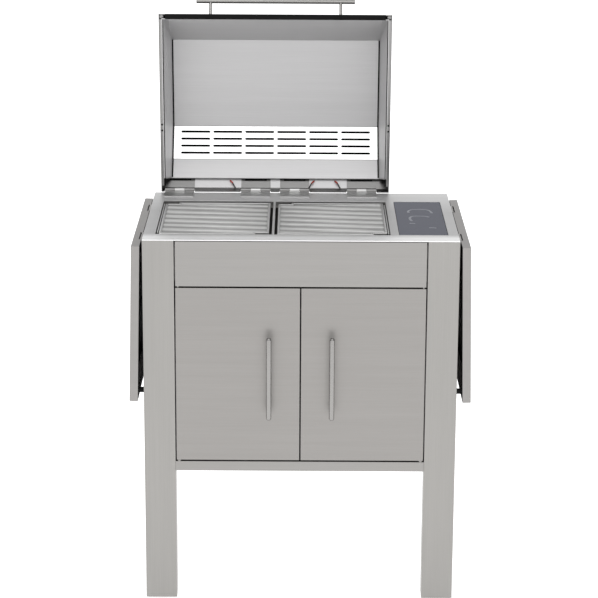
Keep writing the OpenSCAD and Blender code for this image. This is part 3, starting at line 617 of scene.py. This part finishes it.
def printed(path, width, name):
    """A flat ribbon of ink along a path on the glass."""
    points, faces = [], []
    for k, here in enumerate(path):
        before, after = path[max(k - 1, 0)], path[min(k + 1, len(path) - 1)]
        heading = (Vector(after) - Vector(before)).normalized()
        side = Vector((-heading.y, heading.x)) * width / 2
        for z in (ink_z - 0.0002, ink_z):
            points += [(here[0] + side.x, here[1] + side.y, z), (here[0] - side.x, here[1] - side.y, z)]
    for k in range(len(path) - 1):
        a, b = 4 * k, 4 * k + 4
        faces += [(a + 2, a + 3, b + 3, b + 2), (a, b, b + 1, a + 1),
                  (a, a + 2, b + 2, b), (a + 1, b + 1, b + 3, a + 3)]
    last = 4 * (len(path) - 1)
    faces += [(0, 1, 3, 2), (last, last + 2, last + 3, last + 1)]
    return solid_of(points, faces, name, mark_ink)


def table_path(points, steps=4):
    """A soft curve through points that are given in millimetres from the worktop's front edge."""
    spots = [Vector((x / 1000, front_y + y / 1000)) for x, y in points]
    path = [spots[0]]
    for k in range(len(spots) - 1):
        before, after = spots[max(k - 1, 0)], spots[min(k + 2, len(spots) - 1)]
        a, b = spots[k], spots[k + 1]
        for n in range(1, steps + 1):
            t = n / steps
            path.append(0.5 * (2 * a + (b - before) * t + (2 * before - 5 * a + 4 * b - after) * t * t
                               + (3 * a - before - 3 * b + after) * t * t * t))
    return path


mark_runs = [
    (0.006, [(277, 303), (277, 322), (289, 339), (320, 339), (332, 325), (337, 299)]),
    (0.006, [(281, 212), (277, 240), (286, 264), (316, 264), (327, 255)]),
    (0.007, [(274, 187), (288, 185)]),
    (0.006, [(321, 141), (339, 138)]),
]
marks = [printed(table_path(run), width, "mark") for width, run in mark_runs]
ink = joined(marks, "glass_marks")
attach(ink, "stand")


# ---------- Gas parts ----------
# Drawn brass: the manifold and the valve block behind the fascia, the supply pipe, and the
# threaded inlet at the back.
brass_finish, shader = new_finish("brass_finish")
cloud = noise(object_place(), 40.0, 3.0)
plug(two_tones(cloud, (0.42, 0.33, 0.14), (0.58, 0.47, 0.22)), shader, "Base Color")
plug(0.28 + cloud * 0.2, shader, "Roughness")
shader.inputs["Metallic"].default_value = 1.0
for node in ("manifold", "valve_block", "supply_pipe", "gas_inlet"):
    finished(node, brass_finish, 0.0006)


# ---------- Black plastic and rubber ----------
# Moulded housing and catches, and rubber feet, shelf bumpers and hood seal. The circuit board and
# the spark electrodes are finished here too.
def moulded(name, dark, light, roughness, gloss=0.5):
    made, shader = new_finish(name)
    grain = noise(object_place(), 700.0, 2.0)
    cloud = noise(object_place(), 20.0, 2.0)
    plug(two_tones(cloud, dark, light), shader, "Base Color")
    plug(roughness + (grain - 0.5) * 0.15, shader, "Roughness")
    plug(bumped(grain, 0.2, 0.0003), shader, "Normal")
    shader.inputs["Specular IOR Level"].default_value = gloss
    return made


# This black finish serves real rubber parts, and also the black strips and sheet on the hood that are painted
# shade.
black_rubber_and_shade = moulded("black_rubber_finish", (0.004, 0.004, 0.004), (0.008, 0.008, 0.008), 0.7, 0.1)
black_plastic = moulded("black_plastic_finish", (0.02, 0.02, 0.021), (0.035, 0.035, 0.036), 0.5)
for node in ("feet", "shelf_bumpers", "hood_front_seal"):
    finished(node, black_rubber_and_shade, 0.0008)
for node in ("control_housing", "door_catches"):
    finished(node, black_plastic, 0.0008)
board_green = moulded("board_finish", (0.03, 0.12, 0.05), (0.05, 0.18, 0.08), 0.4)
finished("control_board", board_green, 0.0003)
ceramic = moulded("ceramic_finish", (0.72, 0.70, 0.64), (0.82, 0.80, 0.75), 0.25)
painted("igniter_electrodes", ceramic)
lead_red = moulded("lead_finish", (0.30, 0.03, 0.02), (0.42, 0.05, 0.03), 0.45)


# ---------- Drip tray, pins and hidden steel ----------
# Plain folded sheet for the tray and its rails, and turned steel for the pins. The leg plugs are
# pressed into the tubes.
for node in ("tray_rails", "drip_tray", "door_pins", "leg_plugs"):
    finished(node, box_steel if node == "tray_rails" else fascia_steel, 0.0004)


# ---------- Hood ----------
# Outer and inner skins of brushed sheet, with a slotted vent sheet across the back slope. A round
# handle on two posts stands on the front wall, and four leaf hinges carry the hood.
hood_steel = brushed_steel("hood_steel", (0.265, 0.2625, 0.26), 0, 0.36)
# The inner skin is painted darker towards its top: painted shade along its height.
liner_steel = brushed_steel("liner_steel", (0.70, 0.695, 0.70), 0, 0.46, 0.5,
                            painted_shading=(2, 1.0, 1.45, ((0.0, 0.94), (1.0, 0.68))))
vent_steel = brushed_steel("vent_steel", (0.96, 0.96, 0.955), 0, 0.32, 0.8)
for node, material in (("hood_shell", hood_steel), ("hood_vent_panel", vent_steel)):
    finished(node, material, 0.0004)
for node in ("hood_handle", "hood_handle_posts"):
    finished(node, bar_steel, 0.0010)
for node in ("hood_hinge_leaves", "hood_hinge_pins"):
    finished(node, hood_steel, 0.0004)
finished("table_hinge_leaves", grate_steel, 0.0004)


# The hood's own axes: how far in front of the hinge, and how high above it, with the hood shut.
hood_joint = next(j for j in frame["joints"] if j["name"] == "hood_hinge")
hinge_x, hinge_y, hinge_z = hood_joint["pos_m"]
open_angle = math.radians(hood_joint["range_deg"][1])
hood_low, hood_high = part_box("hood_shell")


def hood_spot(x, ahead, up):
    """The place, with the hood open, of a point given with the hood shut."""
    back = up * math.sin(open_angle) - ahead * math.cos(open_angle)
    rise = up * math.cos(open_angle) + ahead * math.sin(open_angle)
    return Vector((x, hinge_y + back, hinge_z + rise))


# Inner skin: one folded sheet whose cheeks lean out towards the rim, with a lip at each side.
rim_up, wall_gap, skin = -0.004, 0.010, 0.002
outline = [(-0.005, rim_up), (-0.005, 0.02346), (0.054, 0.086),
           (0.133, 0.150), (0.383, 0.150), (0.480, rim_up)]
back_half, rim_half, foot_up, foot_rise = 0.278, 0.2945, 0.036, 0.011


def inner_line(depth):
    """The hood's outline moved inwards by depth, from its back rim to its front rim."""
    lines = []
    for a, b in zip(outline, outline[1:]):
        run = Vector(b) - Vector(a)
        inward = Vector((run.y, -run.x)).normalized() * depth
        lines.append((Vector(a) + inward, Vector(b) + inward))
    rim = (Vector((-1.0, rim_up)), Vector((1.0, rim_up)))
    chain = [rim] + lines + [rim]
    points = []
    for (a, b), (c, d) in zip(chain, chain[1:]):
        r, q, w = b - a, d - c, c - a
        points.append(a + r * ((w.x * q.y - w.y * q.x) / (r.x * q.y - r.y * q.x)))
    return points


def cut_foot(points, up):
    """The inner line from the height up on its back slope."""
    a, b = points[1], points[2]
    share = (up - a.y) / (b.y - a.y)
    return [a + (b - a) * share] + points[2:]


near = cut_foot(inner_line(wall_gap + skin), foot_up)
far = cut_foot(inner_line(wall_gap), foot_up)
band_from, band_to = near[1], near[2]
points, faces = [], []
for side in (-1, 1):
    for line, grow in ((near, 0.0), (far, skin)):
        points += [hood_spot(hinge_x + side * (back_half + grow), p.x, p.y) for p in line]
        rim_line = [p.x + (foot_rise if p is line[0] else 0) for p in line]
        points += [hood_spot(hinge_x + side * (rim_half + grow), ahead, rim_up) for ahead in rim_line]
# The points run in four blocks: inner and outer face at one cheek, then at the other. The sheet
# is left open at its vented run, where the vent sheet closes it.
count = len(near)
block = 2 * count
vented = 1
for k in range(count - 1):
    a, b = k, 2 * block + k
    if k != vented:
        faces.append((a, b, b + 1, a + 1))
        faces.append((a + block, a + block + 1, b + block + 1, b + block))
    for s, edge in ((0, k), (2 * block, 2 * block + k)):
        faces.append((edge, edge + 1, edge + 1 + count, edge + count))
        faces.append((edge + block, edge + block + count, edge + block + count + 1, edge + block + 1))
        faces.append((edge + count, edge + count + 1, edge + block + count + 1, edge + block + count))
for k in (0, count - 1):
    faces.append((k, 2 * block + k, 3 * block + k, block + k))
    for s in (0, 2 * block):
        faces.append((s + k, s + block + k, s + block + count + k, s + count + k))
for k in (vented, vented + 1):
    faces.append((k, 2 * block + k, 3 * block + k, block + k))
for s in (0, 2 * block):
    a = s + vented
    faces.append((a, a + 1, a + block + 1, a + block))
liner = rounded_solid(points, faces, "hood_liner_sheet", liner_steel, 0.0006)
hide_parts("hood_liner")
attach(liner, "hood")


def hood_bar(x0, x1, line, thick, name, material, edge=0.0004):
    """A flat strip along two points given with the hood shut, thick towards the hood's inside."""
    (a0, u0), (a1, u1) = line
    run = Vector((a1 - a0, u1 - u0)).normalized()
    rise = Vector((run.y, -run.x)) * thick
    corners = []
    for x in (x0, x1):
        for a, u in ((a0, u0), (a1, u1)):
            corners += [hood_spot(x, a, u), hood_spot(x, a + rise.x, u + rise.y)]
    return rounded_solid(corners, box_faces, name, material, edge)


# Side lips: folded strips that close the gap between the skins, a black strip beside each and along
# each back corner as painted shade for the shadow gaps there, and a round plug at each front corner.
outer_half = (hood_high.x - hood_low.x) / 2
lip_from, lip_to = 0.012, 0.4655
plug_in, plug_ahead, plug_set, fine = 0.0075, 0.4725, 0.0026, 0.0002
plug_profile = [(0.0005, 0.003), (0.0035, 0.0026), (0.0052, 0.0014),
                (0.0055, 0.0), (0.0055, -0.004), (0.0005, -0.004)]
lips, shade_strips, plugs = [], [], []
for side in (-1, 1):
    spots = [hinge_x + side * (outer_half - d) for d in (0.0021, 0.0080, 0.0118)]
    lip_line = ((lip_from, rim_up + 0.0004), (lip_to, rim_up + 0.0004))
    shade_strip_line = ((lip_from, rim_up + 0.0016), (lip_to, rim_up + 0.0016))
    lips.append(hood_bar(spots[0], spots[1], lip_line, -0.002, "lip", hood_steel))
    shade_strips.append(hood_bar(spots[1], spots[2], shade_strip_line, -0.003, "seal", black_rubber_and_shade))
    # Black strips along each back corner: painted shade for the shadow gap there.
    corner = hinge_x + side * back_half
    for a, b in zip(near[:-2], near[1:-1]):
        shade_strips.append(hood_bar(corner - side * 0.0036, corner - side * fine, ((a.x, a.y), (b.x, b.y)),
                              0.0012, "seal", black_rubber_and_shade, fine))
    plug_spot = hood_spot(hinge_x + side * (outer_half - plug_in), plug_ahead, rim_up + plug_set)
    turn = Matrix.Translation(plug_spot) @ Matrix.Rotation(math.pi - open_angle, 4, "X")
    plugs.append(round_solid(plug_profile, turn, "plug", hood_steel, 24))
side_lips = joined(lips + plugs, "hood_side_lips")
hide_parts("hood_side_rails")
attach(side_lips, "hood")
side_shade_strips = joined(shade_strips, "hood_side_seals")
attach(side_shade_strips, "hood")

# Bright strips along the back slope between the hinges, and a black strip above each hinge, painted shade for the
# slit there.
slope_start = Vector(outline[1])
slope_run = (Vector(outline[2]) - slope_start).normalized()
slope_in = Vector((slope_run.y, -slope_run.x))


def on_slope(run, lift):
    """A point on the back slope: how far up it, and how far off its outer face."""
    return tuple(slope_start + slope_run * run + slope_in * lift)


hinge_places = (-0.255, -0.052, 0.052, 0.231)
hinge_half, slit_shade_half = 0.039, 0.029
strip_line = (on_slope(0.003, 0.0022), on_slope(0.030, 0.0022))
slit_shade_line = (on_slope(0.0245, 0.0034), on_slope(0.0285, 0.0034))
strips = [hood_bar(hinge_x + left + hinge_half, hinge_x + right - hinge_half, strip_line,
                   0.0008, "strip", liner_steel, fine)
          for left, right in zip(hinge_places, hinge_places[1:])]
strip = joined(strips, "hood_foot_strips")
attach(strip, "hood")
slit_shades = [hood_bar(hinge_x + x - slit_shade_half, hinge_x + x + slit_shade_half, slit_shade_line, 0.0006, "slit",
                  black_rubber_and_shade, fine)
         for x in hinge_places]
slit = joined(slit_shades, "hood_hinge_slits")
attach(slit, "hood")

# Leads: short curved pieces with a red sleeve on the upper half and a dark sleeve below.
lead_dark = moulded("lead_dark", (0.02, 0.018, 0.018), (0.04, 0.036, 0.036), 0.45)


def tube(path, radius, name, material, sides=12):
    """A round tube along a path, closed at both ends."""
    points, faces = [], []
    for k, here in enumerate(path):
        before, after = path[max(k - 1, 0)], path[min(k + 1, len(path) - 1)]
        heading = (after - before).normalized()
        side = heading.cross(Vector((0, 0, 1))).normalized()
        over = side.cross(heading)
        for n in range(sides):
            turn = 2 * math.pi * n / sides
            points.append(here + side * (radius * math.cos(turn)) + over * (radius * math.sin(turn)))
    for k in range(len(path) - 1):
        for n in range(sides):
            m = (n + 1) % sides
            faces.append((k * sides + n, k * sides + m, (k + 1) * sides + m, (k + 1) * sides + n))
    last = (len(path) - 1) * sides
    faces += [tuple(range(sides)), tuple(last + n for n in range(sides))]
    made = solid_of(points, faces, name, material)
    for face in made.data.polygons:
        face.use_smooth = len(face.vertices) == 4
    return made


lead_steps, lead_wide = 12, 0.014
leads = []
for x, way in ((-0.114, 1), (0.097, -1), (0.167, 1)):
    path = []
    for k in range(lead_steps + 1):
        share = k / lead_steps
        lift = 0.0045 + 0.0055 * math.sin(math.pi * min(1.0, share * 1.15))
        spot = on_slope(0.023 - 0.021 * share, lift)
        path.append(hood_spot(hinge_x + x + way * lead_wide * (share - 0.5), *spot))
    sleeve_end = lead_steps // 2
    leads.append(tube(path[:sleeve_end + 1], 0.0021, "lead", lead_red))
    leads.append(tube(path[sleeve_end:], 0.0017, "lead", lead_dark))
lead = joined(leads, "hood_lead_sleeves")
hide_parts("hood_leads")
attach(lead, "hood")

# Two button-head screws on each side of the rim.
head_profile = [(0.0006, -0.001), (0.0030, -0.001), (0.0030, 0.0006), (0.0018, 0.0018), (0.0006, 0.0019)]
head = turned(head_profile, 16, "screw_head", hood_steel)
screw_in, screw_set, screw_ahead = 0.0052, 0.0012, (0.165, 0.181)
screw_spots = [hood_spot(hinge_x + side * (outer_half - screw_in), ahead, rim_up + screw_set)
               for side in (-1, 1) for ahead in screw_ahead]
screws = placed("rim_screws", head, screw_spots, (math.pi - open_angle, 0, 0), black_rubber_and_shade, 30)
bpy.data.objects.remove(head)
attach(screws, "hood")

# A black sheet behind the vent slots hides the space between the skins: painted shade for the dark slots.
along = (band_to - band_from).normalized()
shade_sheet_half, shade_sheet_gap, shade_sheet_trim = 0.262, 0.006, 0.010
out = Vector((-along.y, along.x)) * shade_sheet_gap
shade_sheet_line = (tuple(band_from + along * shade_sheet_trim + out), tuple(band_to - along * shade_sheet_trim + out))
shade_sheet = hood_bar(hinge_x - shade_sheet_half, hinge_x + shade_sheet_half, shade_sheet_line, -0.001,
                   "vent_backing", black_rubber_and_shade)
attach(shade_sheet, "hood")


# ---------- Side shelves ----------
# Folded trays hanging from two hinges each, brushed along the grill's depth. The faces towards
# the stand are painted black: painted shade for the dark gaps beside the legs.
shelf_steel = brushed_steel("shelf_steel", (0.275, 0.2665, 0.26), 1, 0.38)
shelf_coat, shader = new_finish("shelf_coat")
speckle = noise(object_place(), 260.0, 2.0)
plug(two_tones(speckle, (0.010, 0.010, 0.010), (0.018, 0.018, 0.018)), shader, "Base Color")
plug(0.7 + speckle * 0.1, shader, "Roughness")
shader.inputs["Specular IOR Level"].default_value = 0.1
for node, inward in (("shelf_left", 1), ("shelf_right", -1)):
    tray = finished(node, shelf_steel, 0.0008)
    # The faces towards the stand get the black painted shade.
    tray.data.materials.append(shelf_coat)
    for face in tray.data.polygons:
        if face.normal.x * inward > 0.6:
            face.material_index = 1
for node in ("shelf_left_leaves", "shelf_right_leaves", "side_hinge_leaves", "side_hinge_pins"):
    finished(node, fascia_steel, 0.0004)
